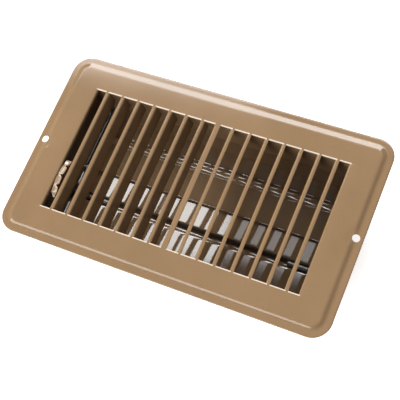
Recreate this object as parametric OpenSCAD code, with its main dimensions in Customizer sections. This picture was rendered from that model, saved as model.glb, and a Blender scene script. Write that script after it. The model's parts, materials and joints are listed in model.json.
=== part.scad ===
// Floor register for a 4 by 8 inch duct: stamped two-way louvre face over a
// damper box with two linked blades, opened and closed by a thumb wheel.
// Origin: centre of the face, in the plane of the flange's underside. +Z is up.

/* [Face] */
// Length of the face, along X
face_l = 244.5; // [240:0.5:250]
// Width of the face, along Y
face_w = 142.9; // [138:0.5:148]
// Corner radius of the face
corner_r = 13.5; // [11:0.5:16]
// Thickness of the face's steel sheet
sheet = 0.8; // [0.7:0.1:0.9]
// Height of the raised middle of the face above the flange's underside
crown_h = 2.2; // [2:0.1:2.6]
// Width of the flat rim around the face
rim_w = 4; // [3:0.5:5]
// Width of the slope between the rim and the raised middle
slope_w = 4.5; // [3.5:0.5:6]
// Distance between the two screw holes
screw_spacing = 234.2; // [233:0.1:235]
// Diameter of a screw hole
screw_d = 5.2; // [4.6:0.1:5.6]

/* [Louvres] */
// Distance from one louvre bar to the next
pitch = 12.7; // [12.6:0.05:12.8]
// Number of louvre slots in each half of the face
half_slots = 8; // [8:1:8]
// Length of a louvre slot, along Y
slot_l = 95.2; // [92:0.1:96]
// Width of a bar, with its bend
bar_w = 3; // [2.6:0.1:3.4]
// Width of the plain bar in the middle
centre_bar_w = 4; // [3:0.1:5]
// Distance from the middle to the outer edge of the end slots
slots_end = 95.7; // [95:0.1:96]
// Depth of a fin below the top of the face
fin_depth = 10.7; // [9:0.1:11]
// Depth of the two fins beside the middle bar
inner_fin_depth = 7.8; // [6:0.1:8.5]
// Depth of the fin in the last slot
outer_fin_depth = 7; // [5:0.1:8]
// Depth of the lip in the wheel's slot
wheel_lip_depth = 3.4; // [3:0.1:4]
// Angle of a fin from the vertical
fin_lean = 9; // [6:0.5:12]
// Outer radius of the bend at the top of a fin
bend_r = 1.3; // [1.1:0.1:1.5]

/* [Damper box] */
// Length of the box, outside
box_l = 200; // [199:0.5:201]
// Width of the box, outside
box_w = 98.4; // [98:0.1:98.8]
// Depth of the box below the flange's underside
box_depth = 41.3; // [41:0.1:44]
// Thickness of the box's steel sheet
wall = 0.7; // [0.6:0.1:0.8]
// Place of the pivot plate along X
pivot_plate_x = -82; // [-82.5:0.1:-81.5]

/* [Blades] */
// Distance of each blade's axis from the middle, along Y
axis_y = 23.4; // [23:0.1:23.8]
// Height of the blades' axes
axis_z = -25; // [-25.5:0.1:-24.5]
// Distance from an axis to the edge that laps over the other blade
lap_half_w = 25.2; // [24.6:0.1:25.4]
// Distance from an axis to the edge beside the wall
wall_half_w = 23; // [22:0.1:23.2]
// Tilt of the closed near blade, whose far edge dips under the far blade
near_tilt = 6.5; // [5:0.5:7]
// Tilt of the closed far blade
far_tilt = 0.5; // [0:0.5:1]
// Thickness of a blade
blade_t = 0.6; // [0.5:0.05:0.7]
// Diameter of a blade's pivot pins
pivot_d = 4; // [3.6:0.1:4.4]
// Clearance around a pin in its bearing hole
running_fit = 0.06; // [0.03:0.01:0.09]

/* [Control] */
// Radius of the thumb wheel at the rim
wheel_r = 28.4; // [27.8:0.1:28.6]
// Width of the thumb wheel's rim, along X
wheel_rim_w = 3.8; // [3.6:0.1:4.4]
// Place of the middle of the rim along X
wheel_x = -92.6; // [-93:0.1:-92.4]
// Reach of a crank from its axis, along Y
crank_y = 18.1; // [17:0.1:18.5]
// Rise of a crank from its axis
crank_z = 6; // [5:0.1:7]

/* [Hidden] */
$fn = 48;

eps = 0.01;
paint = [0.62, 0.50, 0.36];
dark_paint = [0.42, 0.33, 0.24];
zinc = [0.78, 0.78, 0.76];

crown_under = crown_h - sheet;
crown_inset = rim_w + slope_w;
dimple_r = 6.6;
lip_w = 5;
wall_inner = box_w/2 - wall;
end_inner = box_l/2 - wall;
tab_w = 8;
blade_x0 = pivot_plate_x + 1.2;
blade_x1 = end_inner - 1.3;
pivot_r = pivot_d/2;
bead_r = pivot_r + blade_t + 0.4;
hem_w = 4;
hem_t = 1.2;
pivot_end_x = box_l/2 + 1.8;
pin_hold = 22;
rail_reach = 8.3;
rail_t = 0.7;
far_rail_z = axis_z + 0.75;
near_rail_z = axis_z + 0.4;
crank_x = -86.6;
crank_t = 1.2;
link_x = -88.5;
link_t = 1;
link_w = 3.6;
link_eye_r = 3.1;
link_pin_r = 1.5;
pin_head_r = 2.5;
pin_head_t = 0.7;
open_pivot_gap = 0.25;
hub_r = 5;
hub_x0 = -97;
hub_x1 = -90.2;
washer_r = 4.6;
web_t = 1.2;
web_grip = 0.7;
rim_t = 1.4;
rib_h = 0.7;
rib_step = 16.2;
rim_facets = 12;
rim_first = -26;
rim_last = 19;
first_notch = 2;
rivet_r = 2.2;
rivet_head_t = 0.8;

// Rounded rectangle of the face's outline, set in by a distance
module face_outline(inset) {
    r = max(corner_r - inset, 2);
    hull()
        for (x = [-1, 1], y = [-1, 1])
            translate([x*(face_l/2 - inset - r), y*(face_w/2 - inset - r)])
                circle(r = r, $fn = 32);
}

// The raised middle, from z to its top, filled
module crown(z0, top) {
    hull() {
        translate([0, 0, z0])
            linear_extrude(eps)
                face_outline(rim_w);
        translate([0, 0, top - eps])
            linear_extrude(eps)
                face_outline(crown_inset);
    }
}

// Places something at both screw holes
module at_screw_holes() {
    for (x = [-1, 1])
        translate([x*screw_spacing/2, 0, 0])
            children();
}

// Cross-section of one fin of the right half: its bend starts at the slot's edge
module fin_section(depth, lean) {
    c = [bend_r, -bend_r];
    turn = 180 - lean;
    down = [-sin(lean), -cos(lean)];
    run = (depth - bend_r)/cos(lean);
    inner_r = bend_r - sheet;
    outer = [for (a = [90:(turn - 90)/6:turn + eps]) c + bend_r*[cos(a), sin(a)]];
    inner = [for (a = [turn:-(turn - 90)/6:90 - eps]) c + inner_r*[cos(a), sin(a)]];
    tip = outer[6] + run*down;
    tip_in = inner[0] + run*down;
    polygon(concat([[bend_r + 0.3, 0]], outer, [tip, tip_in], inner, [[bend_r + 0.3, -sheet]]));
}

// A fin along its slot
module fin(x, depth, lean) {
    translate([x, slot_l/2, crown_h])
        rotate([90, 0, 0])
            linear_extrude(slot_l)
                fin_section(depth, lean);
}

// Depth of the fin of one slot, counted from the middle
function depth_of(slot) =
    slot == 1 ? inner_fin_depth :
    slot == half_slots ? outer_fin_depth : fin_depth;

// The slots and fins of one half, drawn for the right half
module slot_cuts() {
    for (slot = [1:half_slots]) {
        x0 = slot == 1 ? centre_bar_w/2 : (slot - 1)*pitch;
        x1 = (slot == half_slots ? slots_end : slot*pitch - bar_w) + bend_r;
        translate([x0, -slot_l/2, -1])
            cube([x1 - x0, slot_l, crown_h + 2]);
    }
}

module face_plate() color(paint) {
    difference() {
        union() {
            linear_extrude(sheet)
                face_outline(0);
            crown(sheet - eps, crown_h);
        }
        difference() {
            crown(-eps, crown_under);
            at_screw_holes()
                cylinder(r = dimple_r + sheet, h = 2*crown_h, center = true);
        }
        at_screw_holes() {
            translate([0, 0, sheet])
                cylinder(r = dimple_r, h = crown_h);
            cylinder(d = screw_d, h = 3*crown_h, center = true);
        }
        slot_cuts();
        mirror([1, 0, 0])
            slot_cuts();
    }
    for (slot = [1:half_slots]) {
        x = slot == half_slots ? slots_end : slot*pitch - bar_w;
        fin(x, depth_of(slot), fin_lean);
        mirror([1, 0, 0])
            if (slot == half_slots)
                fin(x, wheel_lip_depth, 0);
            else
                fin(x, depth_of(slot), fin_lean);
    }
}

// A long wall of the box with its welding flange, drawn for the far side
module long_wall() color(paint) {
    translate([-box_l/2, wall_inner, -box_depth])
        cube([box_l, wall, box_depth + crown_under]);
    translate([-box_l/2 + lip_w, wall_inner, crown_under - wall])
        cube([box_l - 2*lip_w, wall + lip_w, wall]);
    translate([-box_l/2, wall_inner - lip_w/2, -box_depth])
        cube([box_l, lip_w/2 + wall, wall]);
}

module wall_far() long_wall();

module wall_near()
    mirror([0, 1, 0])
        long_wall();

// A plate across the box with a tab at each end, and its bearing holes
module cross_plate(x, thickness, tab, holes) {
    inner = wall_inner - (tab == 0 ? 0 : wall);
    difference() {
        union() {
            translate([x, -wall_inner, -box_depth + wall])
                cube([thickness, 2*wall_inner, box_depth + crown_under - wall]);
            if (tab != 0)
                for (y = [-1, 1])
                    translate([min(x, x + tab), y > 0 ? inner : -wall_inner, -box_depth + wall])
                        cube([abs(tab) + thickness*(tab > 0 ? 0 : 1), wall, box_depth - 3]);
        }
        for (y = holes)
            translate([x - 1, y, axis_z])
                rotate([0, 90, 0])
                    cylinder(r = pivot_r + running_fit, h = thickness + 2);
    }
}

module end_plate_left() color(paint) {
    cross_plate(-box_l/2, wall, tab_w, [-axis_y]);
    translate([-box_l/2 - lip_w, -wall_inner + lip_w, crown_under - wall])
        cube([lip_w, 2*wall_inner - 2*lip_w, wall]);
}

module end_plate_right() color(paint) {
    cross_plate(end_inner, wall, -tab_w, [-axis_y, axis_y]);
    translate([box_l/2, -wall_inner + lip_w, crown_under - wall])
        cube([lip_w, 2*wall_inner - 2*lip_w, wall]);
}

// The partition stops below the fins
module pivot_plate() color(paint) {
    difference() {
        cross_plate(pivot_plate_x - 0.4, 0.8, 0, [-axis_y, axis_y]);
        translate([pivot_plate_x - 2, -wall_inner - 1, crown_h - fin_depth - 1])
            cube([4, 2*wall_inner + 2, fin_depth + 2]);
    }
}

// Stop rail for a blade's outer edge, drawn for the far side
module stop_rail(z) color(paint) {
    x0 = pivot_plate_x + 0.4;
    length = end_inner - tab_w - 1 - x0;
    translate([x0, wall_inner - rail_reach, z])
        cube([length, rail_reach, rail_t]);
    translate([x0, wall_inner - rail_t, z - 4])
        cube([length, rail_t, 4]);
}

module stop_rail_far() stop_rail(far_rail_z);

// The near rail sits below its blade, with its leg turned up the wall
module stop_rail_near()
    translate([0, 0, 2*near_rail_z + rail_t])
        mirror([0, 0, 1])
            mirror([0, 1, 0])
                stop_rail(near_rail_z);

module corner_rivets() color(zinc) {
    for (x = [-1, 1], y = [-1, 1], z = [-12, -30])
        translate([x*(end_inner - tab_w/2), y*box_w/2, z])
            rotate([-90*y, 0, 0])
                rotate_extrude()
                    polygon([[0, 0], [rivet_r, 0], [rivet_r, 0.3*rivet_head_t],
                        [0.6*rivet_r, rivet_head_t], [0, rivet_head_t]]);
}

// Cross-section of a blade about its axis. The bead bows up for bow = 1 and
// down for bow = -1, and the pins lie inside it. Both long edges are hemmed.
module blade_section(left, right, bow) {
    for (side = [-1, 1]) {
        w = side < 0 ? left : right;
        translate([side < 0 ? -w : bead_r - 0.3, -blade_t/2])
            square([w - bead_r + 0.3, blade_t]);
        translate([side < 0 ? -w : w - hem_w, -hem_t/2])
            square([hem_w, hem_t]);
    }
    difference() {
        circle(r = bead_r);
        circle(r = pivot_r);
        translate([-bead_r, bow > 0 ? -bead_r - blade_t/2 : blade_t/2])
            square([2*bead_r, bead_r]);
    }
}

// A blade in its closed place: its near edge stands a little higher
module blade(y, left, right, bow, tilt) color(dark_paint) {
    translate([blade_x0, y, axis_z])
        rotate([-tilt, 0, 0])
            rotate([90, 0, 90])
                linear_extrude(blade_x1 - blade_x0)
                    blade_section(left, right, bow);
}

module near_blade() blade(-axis_y, wall_half_w, lap_half_w - 1, -1, near_tilt);

module far_blade() blade(axis_y, lap_half_w, wall_half_w, 1, far_tilt);

// A solid of revolution about a line along X
module along_x(x0, x1, y, z, r) {
    translate([x0, y, z])
        rotate([0, 90, 0])
            cylinder(r = r, h = x1 - x0);
}

// The two pins of a blade, welded in the ends of its bead
module pivot_pins(x0, y) color(zinc) {
    along_x(x0, blade_x0 + pin_hold, y, axis_z, pivot_r);
    along_x(blade_x1 - pin_hold, pivot_end_x, y, axis_z, pivot_r);
}

module near_pivot_pins() pivot_pins(-box_l/2 - 0.6, -axis_y);

module far_pivot_pins() pivot_pins(crank_x, axis_y);

// Crank pressed on a pivot pin, from its hub out to the link's pin
module crank(y) color(zinc) {
    difference() {
        union() {
            hull() {
                along_x(crank_x, crank_x + crank_t, y, axis_z, 4.5, $fn = 32);
                along_x(crank_x, crank_x + crank_t, y + crank_y, axis_z + crank_z, 3.4, $fn = 32);
            }
            along_x(crank_x, pivot_plate_x - 0.9, y, axis_z, 3.6);
        }
        along_x(crank_x - 1, pivot_plate_x + 1, y, axis_z, pivot_r);
        along_x(crank_x - 1, crank_x + crank_t + 1, y + crank_y, axis_z + crank_z, link_pin_r);
    }
}

module near_crank() crank(-axis_y);

module far_crank() crank(axis_y);

// Rivet pin through a crank and the link, with its head outside the link
module link_pin(y) color(zinc) {
    along_x(link_x - 0.3, crank_x + crank_t, y + crank_y, axis_z + crank_z, link_pin_r);
    along_x(link_x - 0.3 - pin_head_t, link_x - 0.3, y + crank_y, axis_z + crank_z, pin_head_r);
}

module near_link_pin() link_pin(-axis_y);

module far_link_pin() link_pin(axis_y);

// Flat link that holds the two blades parallel
module link_bar() color(zinc) {
    z = axis_z + crank_z;
    difference() {
        union() {
            for (y = [-axis_y, axis_y])
                along_x(link_x, link_x + link_t, y + crank_y, z, link_eye_r);
            translate([link_x, crank_y - axis_y, z - link_w/2])
                cube([link_t, 2*axis_y, link_w]);
        }
        along_x(link_x - 1, link_x + 2, crank_y - axis_y, z, link_pin_r + running_fit);
        along_x(link_x - 1, link_x + 2, crank_y + axis_y, z, link_pin_r + open_pivot_gap);
    }
}

// Push-on ring at the outer end of a pivot pin
module retainer(y) color(zinc) {
    difference() {
        along_x(box_l/2 + 0.3, box_l/2 + 1.3, y, axis_z, 5);
        along_x(box_l/2, box_l/2 + 2, y, axis_z, pivot_r);
    }
}

module near_retainer() retainer(-axis_y);

module far_retainer() retainer(axis_y);

// A point at a radius and an angle from the vertical
function polar(r, a) = r*[sin(a), cos(a)];

// Angle and radius of the rim's outside, which rises to a rib at each notch
function rim_angle(i) = first_notch + i*rib_step/rim_facets;
function rim_radius(i) = wheel_r - rib_h*(1 - pow(abs(cos(180*i/rim_facets)), 4));

// Extrudes a drawing made about the wheel's axis, along X
module across_wheel(x0, width) {
    translate([x0, -axis_y, axis_z])
        rotate([90, 0, 90])
            linear_extrude(width)
                children();
}

// Sheet-metal sector whose wide rim stands through the first slot
module thumb_wheel() color(dark_paint) {
    x0 = wheel_x - wheel_rim_w/2;
    rim_in = wheel_r - rib_h - rim_t;
    difference() {
        across_wheel(x0, wheel_rim_w)
            polygon(concat(
                [for (i = [rim_first:rim_last]) polar(rim_radius(i), rim_angle(i))],
                [for (i = [rim_last:-1:rim_first]) polar(rim_in, rim_angle(i))]));
        for (a = [first_notch - 2*rib_step:rib_step:rim_angle(rim_last)])
            translate([x0 + wheel_rim_w, -axis_y, axis_z])
                rotate([-a, 0, 0])
                    translate([-1, -1, wheel_r/2])
                        cube([2, 2, wheel_r]);
    }
    difference() {
        union() {
            across_wheel(wheel_x - web_t/2, web_t)
                polygon(concat([[0, 0]],
                    [for (i = [rim_first:rim_last]) polar(rim_in + web_grip, rim_angle(i))]));
            along_x(wheel_x - web_t/2, wheel_x + web_t/2, -axis_y, axis_z, hub_r + 3);
        }
        along_x(wheel_x - web_t, wheel_x + web_t, -axis_y, axis_z, hub_r);
    }
}

module wheel_hub() color(zinc) {
    difference() {
        union() {
            along_x(hub_x0, hub_x1, -axis_y, axis_z, hub_r);
            along_x(hub_x0, wheel_x - web_t/2, -axis_y, axis_z, hub_r + 1);
        }
        along_x(hub_x0 - 1, hub_x1 + 1, -axis_y, axis_z, pivot_r);
    }
}

// Dished washer that gives the wheel its drag
module spring_washer() color(zinc)
    translate([hub_x0 - 1.6, -axis_y, axis_z])
        rotate([0, 90, 0])
            rotate_extrude()
                polygon([[pivot_r, 0.8], [pivot_r, 1.5], [washer_r, 0.7], [washer_r, 0]]);

face_plate();
wall_far();
wall_near();
end_plate_left();
end_plate_right();
pivot_plate();
stop_rail_far();
stop_rail_near();
corner_rivets();
near_blade();
near_pivot_pins();
near_crank();
near_link_pin();
near_retainer();
thumb_wheel();
wheel_hub();
spring_washer();
far_blade();
far_pivot_pins();
far_crank();
far_link_pin();
far_retainer();
link_bar();
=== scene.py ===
import json
import math

import bmesh
import bpy
from mathutils import Matrix, Vector


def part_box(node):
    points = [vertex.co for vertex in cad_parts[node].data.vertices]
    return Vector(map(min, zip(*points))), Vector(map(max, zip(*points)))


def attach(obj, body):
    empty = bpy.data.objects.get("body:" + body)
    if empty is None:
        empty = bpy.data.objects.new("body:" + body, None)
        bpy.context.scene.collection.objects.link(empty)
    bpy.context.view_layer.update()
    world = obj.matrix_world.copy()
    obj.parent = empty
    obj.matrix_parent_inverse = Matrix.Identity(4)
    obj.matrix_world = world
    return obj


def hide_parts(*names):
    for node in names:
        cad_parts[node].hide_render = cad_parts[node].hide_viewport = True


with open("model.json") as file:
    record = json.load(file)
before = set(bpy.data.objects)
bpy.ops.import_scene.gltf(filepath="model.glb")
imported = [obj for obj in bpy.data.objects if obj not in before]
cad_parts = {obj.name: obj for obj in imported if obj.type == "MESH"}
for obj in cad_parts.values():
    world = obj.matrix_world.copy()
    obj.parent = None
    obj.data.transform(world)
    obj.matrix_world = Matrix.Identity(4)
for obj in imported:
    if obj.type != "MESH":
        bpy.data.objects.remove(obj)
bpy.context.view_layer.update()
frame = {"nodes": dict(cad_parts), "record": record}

MM = 0.001

# Driving sizes of the register, as in the part's source: lengths in millimetres, angles in radians
FACE_L, FACE_W = 244.5, 142.9
CORNER_R = 13.5
SHEET = 0.8
CROWN_H = 2.2
RIM_W, SLOPE_W = 4.0, 4.5
SCREW_X = 117.1
SCREW_R = 2.6
PITCH = 12.7
HALF_SLOTS = 8
SLOT_HALF_L = 47.6
BAR_W, CENTRE_BAR_W = 3.0, 4.0
SLOTS_END = 95.7
FIN_DEPTH, INNER_FIN_DEPTH, OUTER_FIN_DEPTH, LIP_DEPTH = 10.7, 7.8, 7.0, 3.4
FIN_LEAN = math.radians(9)
BEND_R = 1.3
AXIS_Y, AXIS_Z = 23.4, -25.0
NEAR_TILT, FAR_TILT = math.radians(6.5), math.radians(0.5)
PIN_R = 2.0
WHEEL_R, WHEEL_X = 28.4, -92.6
HUB_HOLE_R, HUB_PLATE_R = 5.0, 8.0

# The box's lowest height and half its outside length and width, in metres
BOX_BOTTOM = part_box("wall_near")[0].z
BOX_HALF_L, BOX_HALF_W = 100*MM, 49.2*MM


# ---------------------------------------------------------------- mesh helpers

def smooth(t):
    t = min(max(t, 0.0), 1.0)
    return t*t*(3 - 2*t)


def eased(t, blend=0.14):
    """A straight ramp from 0 to 1 with a short bend at each end."""
    slope = 1/(1 - blend)
    if t <= 0 or t >= 1:
        return 0.0 if t <= 0 else 1.0
    if t < blend:
        return slope*t*t/(2*blend)
    if t > 1 - blend:
        return 1 - slope*(1 - t)**2/(2*blend)
    return slope*(t - blend/2)


def spread(start, end, step):
    """Evenly spaced numbers from start to end, about step apart."""
    count = max(1, round(abs(end - start)/step))
    return [start + (end - start)*i/count for i in range(count + 1)]


def add_grid(bm, rows, closed=False):
    """Quads between rows of points given in millimetres."""
    made = [[bm.verts.new(Vector(p)*MM) for p in row] for row in rows]
    for a, b in zip(made, made[1:]):
        for i in range(len(a) - 1):
            bm.faces.new((a[i], a[i + 1], b[i + 1], b[i]))
        if closed:
            bm.faces.new((a[-1], a[0], b[0], b[-1]))
    return made


def mesh_object(name, bm, weld=0.004):
    bmesh.ops.remove_doubles(bm, verts=bm.verts, dist=weld*MM)
    mesh = bpy.data.meshes.new(name)
    bm.to_mesh(mesh)
    bm.free()
    obj = bpy.data.objects.new(name, mesh)
    bpy.context.scene.collection.objects.link(obj)
    return obj


def shade(obj, angle=32):
    mesh = obj.data
    mesh.polygons.foreach_set("use_smooth", [True]*len(mesh.polygons))
    mesh.set_sharp_from_angle(angle=math.radians(angle))


def add_bevel(obj, width, segments=2, angle=35):
    mod = obj.modifiers.new("Soft edges", "BEVEL")
    mod.width = width*MM
    mod.segments = segments
    mod.limit_method = "ANGLE"
    mod.angle_limit = math.radians(angle)
    mod.harden_normals = False
    return mod


def apply_modifiers(obj):
    graph = bpy.context.evaluated_depsgraph_get()
    mesh = bpy.data.meshes.new_from_object(obj.evaluated_get(graph))
    obj.modifiers.clear()
    obj.data = mesh


def drop(obj):
    bpy.data.objects.remove(obj)


# ---------------------------------------------------------------- materials

def new_material(name):
    mat = bpy.data.materials.new(name)
    mat.use_nodes = True
    tree = mat.node_tree
    tree.nodes.clear()
    out = tree.nodes.new("ShaderNodeOutputMaterial")
    shader = tree.nodes.new("ShaderNodeBsdfPrincipled")
    tree.links.new(shader.outputs["BSDF"], out.inputs["Surface"])
    return mat, tree, shader


def noise_node(tree, scale, detail=3.0, rough=0.5, stretch=(1, 1, 1)):
    """Noise in the object's own coordinates; scale is in cycles per metre."""
    coord = tree.nodes.new("ShaderNodeTexCoord")
    mapping = tree.nodes.new("ShaderNodeMapping")
    mapping.inputs["Scale"].default_value = stretch
    tex = tree.nodes.new("ShaderNodeTexNoise")
    tex.inputs["Scale"].default_value = scale
    tex.inputs["Detail"].default_value = detail
    tex.inputs["Roughness"].default_value = rough
    tree.links.new(coord.outputs["Object"], mapping.inputs["Vector"])
    tree.links.new(mapping.outputs["Vector"], tex.inputs["Vector"])
    return tex


def ramp(tree, source, stops):
    node = tree.nodes.new("ShaderNodeValToRGB")
    while len(node.color_ramp.elements) < len(stops):
        node.color_ramp.elements.new(0.5)
    for element, (pos, colour) in zip(node.color_ramp.elements, stops):
        element.position = pos
        element.color = (*colour, 1)
    tree.links.new(source, node.inputs["Fac"])
    return node


def value_range(tree, source, low, high):
    node = tree.nodes.new("ShaderNodeMapRange")
    node.inputs["From Min"].default_value = 0.3
    node.inputs["From Max"].default_value = 0.7
    node.inputs["To Min"].default_value = low
    node.inputs["To Max"].default_value = high
    tree.links.new(source, node.inputs["Value"])
    return node


def bump(tree, shader, sources):
    """Stacks bumps; each source is (height output, strength, distance in mm)."""
    last = None
    for height, strength, distance in sources:
        node = tree.nodes.new("ShaderNodeBump")
        node.inputs["Strength"].default_value = strength
        node.inputs["Distance"].default_value = distance*MM
        tree.links.new(height, node.inputs["Height"])
        if last:
            tree.links.new(last.outputs["Normal"], node.inputs["Normal"])
        last = node
    tree.links.new(last.outputs["Normal"], shader.inputs["Normal"])


def scaled(colour, k):
    return tuple(min(c*k, 1) for c in colour)


def enamel(name, colour, rough, peel=0.12, specular=0.5):
    """Baked enamel: slight cloudiness, orange peel and fine dust specks."""
    mat, tree, shader = new_material(name)
    cloud = noise_node(tree, 22, 4)
    tint = ramp(tree, cloud.outputs["Fac"], [(0.30, scaled(colour, 0.93)), (0.52, colour),
                                             (0.72, scaled(colour, 1.05))])
    speck = noise_node(tree, 2600, 1)
    fleck = ramp(tree, speck.outputs["Fac"], [(0.66, (0, 0, 0)), (0.74, (1, 1, 1))])
    mix = tree.nodes.new("ShaderNodeMix")
    mix.data_type = "RGBA"
    mix.inputs["B"].default_value = (*scaled(colour, 0.72), 1)
    tree.links.new(fleck.outputs["Color"], mix.inputs["Factor"])
    tree.links.new(tint.outputs["Color"], mix.inputs["A"])
    tree.links.new(mix.outputs["Result"], shader.inputs["Base Color"])
    patch = noise_node(tree, 55, 3)
    gloss = value_range(tree, patch.outputs["Fac"], rough*0.88, rough*1.15)
    tree.links.new(gloss.outputs["Result"], shader.inputs["Roughness"])
    shader.inputs["Specular IOR Level"].default_value = specular
    fine = noise_node(tree, 900, 2)
    wide = noise_node(tree, 120, 2)
    bump(tree, shader, [(wide.outputs["Fac"], 0.25, peel), (fine.outputs["Fac"], 0.2, 0.25*peel)])
    return mat


def plated(name, colour, rough, metallic=1.0, streak=(1, 1, 1)):
    """Zinc plate or bare steel: mottled colour, fine drawn lines and dull spots."""
    mat, tree, shader = new_material(name)
    spangle = noise_node(tree, 380, 4, 0.6)
    tint = ramp(tree, spangle.outputs["Fac"], [(0.30, scaled(colour, 0.72)), (0.50, colour),
                                               (0.70, scaled(colour, 1.18))])
    tree.links.new(tint.outputs["Color"], shader.inputs["Base Color"])
    shader.inputs["Metallic"].default_value = metallic
    dull = noise_node(tree, 160, 3)
    gloss = value_range(tree, dull.outputs["Fac"], rough*0.75, rough*1.35)
    tree.links.new(gloss.outputs["Result"], shader.inputs["Roughness"])
    lines = noise_node(tree, 1500, 2, 0.5, streak)
    bump(tree, shader, [(lines.outputs["Fac"], 0.3, 0.05)])
    return mat


PAINT = (0.300, 0.188, 0.098)
face_paint = enamel("Face enamel", PAINT, 0.09, 0.03)
# Pale cream: partly the thin enamel on the sheet's bare cut edges, partly a painted highlight on the
# slot-end strips, the outer edge and the screw holes.
cut_edge_and_highlight_paint = enamel("Thin enamel on cut edges and painted highlight", (0.74, 0.62, 0.50), 0.30)
# Darker copy of the face enamel: painted shade for the box walls inside the register.
box_paint = enamel("Box enamel darkened as painted shade", scaled(PAINT, 0.72), 0.22)
# Darker copy of the face enamel: painted shade for the blades deep under the bars.
shaded_blade_paint = enamel("Blade enamel darkened as painted shade", scaled(PAINT, 0.66), 0.06, 0.004, 1.0)
# Near-black copy of the enamel: painted shade along the near blade's groove.
groove_shade_paint = enamel("Painted shade in the groove", scaled(PAINT, 0.16), 0.35, 0.01, 0.3)
# Lighter copy of the face enamel: painted light on the thumb wheel.
lit_wheel_paint = enamel("Wheel enamel lightened as painted light", (0.42, 0.29, 0.18), 0.15, 0.03, 1.0)
zinc = plated("Zinc plate", (0.62, 0.61, 0.58), 0.26, 1.0, (0.05, 1, 1))
# Near-black copy of the zinc plate: painted shade for the linkage inside the box.
shaded_zinc = plated("Zinc plate darkened as painted shade", (0.20, 0.195, 0.185), 0.36, 1.0, (0.05, 1, 1))
spring_steel = plated("Spring steel", (0.42, 0.42, 0.43), 0.34)


# ---------------------------------------------------------------- face plate

def face_height(x, y, out, crisp=0.0):
    """Height of the face's top; out is the distance out from the flat core.

    The slope is straight between short bends where crisp is 1, and softly rounded where it is 0.
    """
    inset = CORNER_R - out
    level = eased((inset - RIM_W)/SLOPE_W, 0.5 - 0.36*crisp)
    from_screw = math.hypot(abs(x) - SCREW_X, y)
    level *= 0.72 + 0.28*smooth((from_screw - 3.6)/4.6)
    roll = 0.35*max(0.0, 1 - inset/0.9)**2
    return SHEET + (CROWN_H - SHEET)*level - roll


def fin_columns(edge, depth, lean, side):
    """Points (x, z) down a fin from the start of its bend, on the visible side."""
    cx, cz = edge + BEND_R, CROWN_H - BEND_R
    turn = math.pi - lean
    arc = [(cx + BEND_R*math.cos(a), cz + BEND_R*math.sin(a))
           for a in spread(math.pi/2, turn, math.radians(14))]
    run = (depth - BEND_R)/math.cos(lean)
    x0, z0 = arc[-1]
    arc += [(x0 - t*math.sin(lean), z0 - t*math.cos(lean)) for t in spread(0, run, 2.5)[1:]]
    return [(side*x, z) for x, z in arc]


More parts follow.
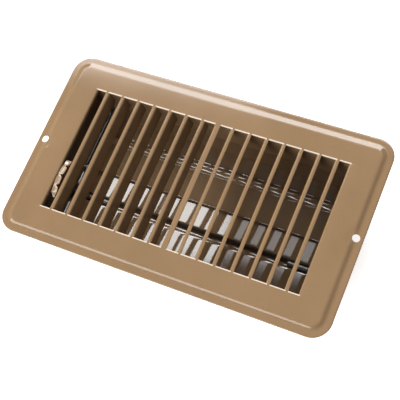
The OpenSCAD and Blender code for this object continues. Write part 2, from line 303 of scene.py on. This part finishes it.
def build_face():
    core_x, core_y = FACE_L/2 - CORNER_R, FACE_W/2 - CORNER_R
    outs = [0, 1.5, 3, 4.2] + spread(5, CORNER_R - 1, 0.5)
    outs += [CORNER_R - 0.6, CORNER_R - 0.25, CORNER_R]
    near_hole = spread(-11, 11, 1)
    end_line = SLOT_HALF_L + 0.8
    y_lines = sorted(set([-core_y, -52, -end_line, -SLOT_HALF_L, -46.6, -44] + spread(-38, -14, 6)
                         + near_hole + spread(14, 38, 6) + [44, 46.6, SLOT_HALF_L, end_line, 52, core_y]))
    bars = []
    for side in (-1, 1):
        for k in range(1, HALF_SLOTS):
            bars.append(sorted((side*k*PITCH, side*(k*PITCH - BAR_W + BEND_R))))
    bars.append([-CENTRE_BAR_W/2, CENTRE_BAR_W/2])
    inner_end = SLOTS_END + BEND_R
    x_lines = sorted(set([-core_x, -103, -inner_end, inner_end, 103, core_x]
                         + [x for bar in bars for x in spread(*bar, 0.6)]))
    bm = bmesh.new()

    def is_open(xa, xb, ya, yb):
        mid_x, mid_y = (xa + xb)/2, (ya + yb)/2
        if abs(mid_y) > SLOT_HALF_L or abs(mid_x) > inner_end:
            return False
        return not any(a < mid_x < b for a, b in bars)

    def is_slot_end(xa, xb, ya, yb):
        """True for the narrow strip along each slot end, which gets a painted highlight in pale paint."""
        mid_y = abs(ya + yb)/2
        return SLOT_HALF_L < mid_y < end_line and is_open(xa, xb, 0, 0)

    def core_z(x, y):
        """The bars' cut edges are drawn down a little by the punch."""
        if abs(y) > SLOT_HALF_L - 0.1 or abs(x) > inner_end:
            return CROWN_H
        droop = 0.0
        for a, b in bars:
            if a - 0.01 <= x <= b + 0.01:
                cut = [a, b] if abs(a + b) < 0.01 else [a if a < 0 else b]
                gap = min(abs(x - c) for c in cut)
                droop = 0.16*max(0.0, 1 - gap/1.0)**2
        return CROWN_H - droop*smooth((SLOT_HALF_L - abs(y))/3)

    for xa, xb in zip(x_lines, x_lines[1:]):
        for ya, yb in zip(y_lines, y_lines[1:]):
            if not is_open(xa, xb, ya, yb):
                add_grid(bm, [[(xa, ya, core_z(xa, ya)), (xb, ya, core_z(xb, ya))],
                              [(xa, yb, core_z(xa, yb)), (xb, yb, core_z(xb, yb))]])
                bm.faces.ensure_lookup_table()
                # Slot-end strips get the pale paint as a painted highlight.
                bm.faces[-1].material_index = int(is_slot_end(xa, xb, ya, yb))
    for side in (-1, 1):
        rows = [[(side*(core_x + o), y, face_height(core_x + o, y, o)) for o in outs] for y in y_lines]
        add_grid(bm, rows if side > 0 else rows[::-1])
        crisp = (side + 1)/2
        rows = [[(x, side*(core_y + o), face_height(x, core_y + o, o, crisp)) for x in x_lines]
                for o in outs]
        add_grid(bm, rows if side > 0 else rows[::-1])
        for end in (-1, 1):
            rows = []
            for a in spread(0, math.pi/2, math.radians(6)):
                rows.append([(end*(core_x + o*math.cos(a)), side*(core_y + o*math.sin(a)),
                              face_height(core_x, core_y, o, math.sin(a)*crisp)) for o in outs])
            add_grid(bm, rows if side*end > 0 else rows[::-1])
    inside = [y for y in y_lines if abs(y) <= SLOT_HALF_L]
    for side in (-1, 1):
        for slot in range(1, HALF_SLOTS + 1):
            last = slot == HALF_SLOTS
            edge = SLOTS_END if last else slot*PITCH - BAR_W
            depth = INNER_FIN_DEPTH if slot == 1 else OUTER_FIN_DEPTH if last else FIN_DEPTH
            lean = FIN_LEAN
            if last and side < 0:
                depth, lean = LIP_DEPTH, 0.0
            columns = fin_columns(edge, depth, lean, side)
            rows = [[(x, y, z) for x, z in columns] for y in inside]
            add_grid(bm, rows[::-1] if side > 0 else rows)
    obj = mesh_object("face_sheet", bm)
    solid = obj.modifiers.new("Sheet", "SOLIDIFY")
    solid.thickness = SHEET*MM
    solid.offset = -1
    solid.use_even_offset = True
    solid.use_quality_normals = True
    # Cut edge faces get the pale paint: partly thin enamel, partly painted highlight.
    solid.material_offset_rim = 1
    obj.data.materials.append(face_paint)
    obj.data.materials.append(cut_edge_and_highlight_paint)
    cutters = bmesh.new()
    for side in (-1, 1):
        bmesh.ops.create_cone(cutters, cap_ends=True, segments=48, radius1=SCREW_R*MM, radius2=SCREW_R*MM,
                              depth=8*MM, matrix=Matrix.Translation((side*SCREW_X*MM, 0, 0)))
    cutter = mesh_object("hole_cutter", cutters)
    cutter.data.materials.append(cut_edge_and_highlight_paint)
    cut = obj.modifiers.new("Screw holes", "BOOLEAN")
    cut.object = cutter
    cut.solver = "EXACT"
    cut.material_mode = "TRANSFER"
    add_bevel(obj, 0.14, 2, 50)
    apply_modifiers(obj)
    drop(cutter)
    # Cut edges inside the slots go back to the face enamel; the pale painted highlight stays on the
    # slot-end strips, the outer edge and the screw holes.
    for polygon in obj.data.polygons:
        x, y, _ = polygon.center/MM
        if polygon.material_index == 1 and abs(y) < SLOT_HALF_L - 0.2 and abs(x) < inner_end + 1:
            polygon.material_index = 0
    shade(obj, 38)
    return obj


# ---------------------------------------------------------------- blades

def blade_outline(left, right, bow):
    """Top line of a blade from its near hem to its far hem, about its axis."""
    hem, hem_r = 4.0, 0.45
    bead = PIN_R + 0.95
    fillet = 0.7
    near = [(-left + hem, -2*hem_r), (-left + 1.2, -2*hem_r)]
    near += [(-left + hem_r - hem_r*math.sin(a), -hem_r - hem_r*math.cos(a))
             for a in spread(0, math.pi, math.radians(30))]
    near += [(y, 0) for y in spread(-left + 3, -bead - 1.6, 2.5)]
    start = math.radians(14)
    hump = [(bead*math.cos(a), bow*bead*math.sin(a))
            for a in spread(math.pi - start, start, math.radians(9))]
    foot = [(-bead - fillet, 0.02*bow), (-bead - 0.15, 0.3*bow)]
    foot_far = [(-y, z) for y, z in foot[::-1]]
    far = [(y, 0) for y in spread(bead + 1.6, right - 3, 2.5)]
    far += [(right - hem_r + hem_r*math.sin(a), -hem_r + hem_r*math.cos(a))
            for a in spread(0, math.pi, math.radians(30))]
    far += [(right - 1.2, -2*hem_r), (right - hem, -2*hem_r)]
    return near + foot + hump + foot_far + far


def build_blade(name, node, y_axis, left, right, bow, tilt, phase):
    """A hemmed sheet with a formed bead for its pins, very slightly wavy."""
    low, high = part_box(node)
    x0, x1 = low.x/MM, high.x/MM
    c, s = math.cos(tilt), math.sin(tilt)
    rows = []
    for x in spread(x0, x1, 4):
        row = []
        for y, z in blade_outline(left, right, bow):
            calm = min(1.0, abs(abs(y) - 3)/6)
            z += 0.006*calm*math.sin(x/17 + phase)*math.cos(y/7 + 2*phase)
            row.append((x, y_axis + y*c + z*s, AXIS_Z + z*c - y*s))
        rows.append(row)
    bm = bmesh.new()
    add_grid(bm, rows)
    bmesh.ops.recalc_face_normals(bm, faces=bm.faces)
    obj = mesh_object(name, bm, 0.0005)
    flats = [p for p in obj.data.polygons if abs(p.center.y/MM - y_axis) > 5]
    if max(flats, key=lambda p: p.area).normal.z < 0:
        obj.data.flip_normals()
    solid = obj.modifiers.new("Sheet", "SOLIDIFY")
    solid.thickness = 0.5*MM
    solid.offset = -1
    obj.data.materials.append(shaded_blade_paint)
    obj.data.materials.append(groove_shade_paint)
    apply_modifiers(obj)
    # The groove's far wall on the near blade gets the near-black paint as painted shade.
    if bow < 0:
        for polygon in obj.data.polygons:
            from_axis = polygon.center.y/MM - y_axis
            if 0.7 < from_axis < 3.4 and polygon.normal.z > 0:
                polygon.material_index = 1
    shade(obj, 50)
    return obj


# ---------------------------------------------------------------- thumb wheel

def build_wheel():
    """Sheet sector whose edge is folded into a wide grip of dished teeth."""
    bm = bmesh.new()
    left, right = -1.9, 1.9
    rim_t, web_t, hub_t = 1.1, 0.6, 0.9
    start, end = math.radians(-33), math.radians(28.5)
    tooth = math.radians(16.2)

    def place(a, r, x):
        return (WHEEL_X + x, -AXIS_Y + r*math.sin(a), AXIS_Z + r*math.cos(a))

    count = 160
    rows = []
    for i in range(count + 1):
        a = start + (end - start)*i/count
        neck = max(0.0, math.cos(math.pi*(a - math.radians(2))/tooth)**2)
        ridge = max(neck**10, 1 - smooth((end - a)/0.03), 1 - smooth((a - start)/0.03))
        x_left = left + 0.35*neck**4
        x_right = right - 1.7*neck**5
        r_top = WHEEL_R - 0.1 - 1.8*smooth((math.radians(-24) - a)/math.radians(9))
        row = []
        for t in spread(0, 1, 0.1):
            x = x_left + (x_right - x_left)*t
            dish = 0.75*(1 - ridge)*math.sin(math.pi*t)**0.7
            row.append(place(a, r_top - dish - 0.3*abs(2*t - 1)**8, x))
        rows.append(row)
    top = add_grid(bm, rows)
    rows_low = []
    for upper in rows:
        row = []
        for x, y, z in upper:
            arm = Vector((0, y + AXIS_Y, z - AXIS_Z))
            arm *= (arm.length - rim_t)/arm.length
            row.append((x, -AXIS_Y + arm.y, AXIS_Z + arm.z))
        rows_low.append(row[::-1])
    low = add_grid(bm, rows_low)
    for a, b in zip(range(count), range(1, count + 1)):
        bm.faces.new((top[a][0], top[b][0], low[b][-1], low[a][-1]))
        bm.faces.new((top[b][-1], top[a][-1], low[a][0], low[b][0]))
    for i in (0, count):
        for k in range(10):
            quad = (top[i][k], top[i][k + 1], low[i][-k - 2], low[i][-k - 1])
            bm.faces.new(quad if i == 0 else quad[::-1])
    web_radii = (HUB_HOLE_R, HUB_PLATE_R, 14, 20, WHEEL_R - 1.6)
    angles = spread(start, end, math.radians(3))
    for face_x, flip in ((-web_t, False), (web_t, True)):
        rows = [[place(a, r, face_x) for r in web_radii] for a in angles]
        add_grid(bm, rows if flip else rows[::-1])
    for r, flip in ((web_radii[0], False), (web_radii[-1], True)):
        rows = [[place(a, r, -web_t), place(a, r, web_t)] for a in angles]
        add_grid(bm, rows if flip else rows[::-1])
    for a, flip in ((start, False), (end, True)):
        rows = [[place(a, r, -web_t), place(a, r, web_t)] for r in web_radii]
        add_grid(bm, rows if flip else rows[::-1])
    ring = [math.radians(d) for d in range(0, 361, 6)]
    for face_x, flip in ((-hub_t, False), (hub_t, True)):
        rows = [[place(a, r, face_x) for r in (HUB_HOLE_R, 6.5, HUB_PLATE_R)] for a in ring]
        add_grid(bm, rows if flip else rows[::-1])
    for r, flip in ((HUB_HOLE_R, False), (HUB_PLATE_R, True)):
        rows = [[place(a, r, -hub_t), place(a, r, hub_t)] for a in ring]
        add_grid(bm, rows if flip else rows[::-1])
    bmesh.ops.recalc_face_normals(bm, faces=bm.faces)
    obj = mesh_object("wheel_grip", bm, 0.002)
    obj.data.materials.append(lit_wheel_paint)
    shade(obj, 45)
    return obj


face = build_face()
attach(face, "housing")
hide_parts("face_plate")

near_skin = build_blade("near_blade_skin", "near_blade", -AXIS_Y, 23.0, 24.2, -1, NEAR_TILT, 0.4)
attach(near_skin, "near_damper")
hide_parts("near_blade")

far_skin = build_blade("far_blade_skin", "far_blade", AXIS_Y, 25.2, 23.0, 1, FAR_TILT, 1.7)
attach(far_skin, "far_damper")
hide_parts("far_blade")

wheel = build_wheel()
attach(wheel, "near_damper")
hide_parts("thumb_wheel")


# ---------------------------------------------------------------- CAD nodes

# Zinc parts get the darkened zinc as painted shade, except the pins and rivets listed below, which keep
# the zinc colour.
FINISHES = {"box_paint": box_paint, "zinc": shaded_zinc, "spring_steel": spring_steel}
BRIGHT = {"near_link_pin", "far_link_pin", "corner_rivets"}
REPLACED = {"face_plate", "near_blade", "far_blade", "thumb_wheel"}
for part in frame["record"]["subparts"]:
    if part["node"] in REPLACED:
        continue
    piece = frame["nodes"][part["node"]]
    piece.data.materials.clear()
    piece.data.materials.append(zinc if part["node"] in BRIGHT else FINISHES[part["material_slot"]])
    add_bevel(piece, 0.28 if part["node"].startswith("stop_rail") else 0.12, 3, 40)


# ---------------------------------------------------------------- stage

FLOOR_GLOW = 0.7
FLOOR_REACH = 3000
LIGHT_DISTANCE = 2.4


def floor_material():
    """Pale paper with a faint glow of its own, except where the box covers it."""
    mat, tree, shader = new_material("Studio floor")
    grain = noise_node(tree, 9, 3)
    tint = ramp(tree, grain.outputs["Fac"], [(0.3, (0.86, 0.86, 0.86)), (0.7, (0.88, 0.88, 0.88))])
    tree.links.new(tint.outputs["Color"], shader.inputs["Base Color"])
    shader.inputs["Roughness"].default_value = 0.8
    shader.inputs["Specular IOR Level"].default_value = 0.1
    shader.inputs["Emission Color"].default_value = (1, 1, 1, 1)
    coord = tree.nodes.new("ShaderNodeTexCoord")
    axes = tree.nodes.new("ShaderNodeSeparateXYZ")
    tree.links.new(coord.outputs["Object"], axes.inputs["Vector"])
    beyond = []
    for axis, half in (("X", BOX_HALF_L), ("Y", BOX_HALF_W)):
        size = tree.nodes.new("ShaderNodeMath")
        size.operation = "ABSOLUTE"
        tree.links.new(axes.outputs[axis], size.inputs[0])
        past = tree.nodes.new("ShaderNodeMath")
        past.operation = "SUBTRACT"
        past.inputs[1].default_value = half
        tree.links.new(size.outputs["Value"], past.inputs[0])
        beyond.append(past)
    far_side = tree.nodes.new("ShaderNodeMath")
    far_side.operation = "MAXIMUM"
    for node, slot in zip(beyond, far_side.inputs):
        tree.links.new(node.outputs["Value"], slot)
    glow = tree.nodes.new("ShaderNodeMapRange")
    glow.inputs["From Min"].default_value = 0.0
    glow.inputs["From Max"].default_value = 2*MM
    glow.inputs["To Min"].default_value = 0.0
    glow.inputs["To Max"].default_value = FLOOR_GLOW
    tree.links.new(far_side.outputs["Value"], glow.inputs["Value"])
    tree.links.new(glow.outputs["Result"], shader.inputs["Emission Strength"])
    return mat


def build_floor():
    bm = bmesh.new()
    reach = FLOOR_REACH
    z = BOX_BOTTOM/MM
    add_grid(bm, [[(x, y, z) for x in (-reach, reach)] for y in (-reach, reach)])
    obj = mesh_object("studio_floor", bm)
    obj.data.materials.append(floor_material())


def soft_box(name, sides, tilts, distance, radiance):
    """A soft box seen from the object between two side angles and two tilts.

    Side angles run from the YZ plane towards +X, tilts from the vertical towards +Y, in degrees.
    """
    side = math.radians(sum(sides)/2)
    tilt = math.radians(sum(tilts)/2)
    data = bpy.data.lights.new(name, "AREA")
    data.shape = "RECTANGLE"
    data.size = 2*distance*math.tan(math.radians(sides[1] - sides[0])/2)
    data.size_y = 2*distance*math.cos(side)*math.tan(math.radians(tilts[1] - tilts[0])/2)
    data.energy = radiance*math.pi*data.size*data.size_y
    obj = bpy.data.objects.new(name, data)
    wide = Vector((math.cos(side), -math.sin(side)*math.sin(tilt), -math.sin(side)*math.cos(tilt)))
    high = Vector((0, math.cos(tilt), -math.sin(tilt)))
    towards = wide.cross(high)
    place = Matrix((wide, high, towards)).transposed().to_4x4()
    place.translation = towards*distance
    obj.matrix_world = place
    bpy.context.scene.collection.objects.link(obj)
    return obj


def world_light(strength):
    world = bpy.data.worlds.new("Studio")
    world.use_nodes = True
    back = world.node_tree.nodes["Background"]
    back.inputs["Color"].default_value = (0.85, 0.97, 1.15, 1)
    back.inputs["Strength"].default_value = strength
    bpy.context.scene.world = world


def build_camera():
    data = bpy.data.cameras.new("Camera")
    data.lens = 84.51
    data.sensor_width = 36
    data.clip_start = 0.05
    data.clip_end = 20
    obj = bpy.data.objects.new("Camera", data)
    right = Vector((0.90177, 0.38441, -0.19759))
    up = Vector((-0.29267, 0.87948, 0.37531))
    back = Vector((0.31805, -0.28062, 0.90559))
    place = Matrix((right, up, back)).transposed().to_4x4()
    place.translation = Vector((0.2110, -0.1856, 0.57445))
    obj.matrix_world = place
    bpy.context.scene.collection.objects.link(obj)
    bpy.context.scene.camera = obj


build_floor()
world_light(0.09)
soft_box("Key soft box", (-37, 8), (44, 67), LIGHT_DISTANCE, 9)
soft_box("Left soft box", (-37, -16), (25, 44), LIGHT_DISTANCE, 7)
soft_box("Right soft box", (-16, 6), (27, 44), LIGHT_DISTANCE, 1.8)
soft_box("Near soft box", (-60, 6), (-77, -37), LIGHT_DISTANCE, 6)
build_camera()
bpy.context.scene.view_settings.view_transform = "Standard"

bpy.context.view_layer.update()
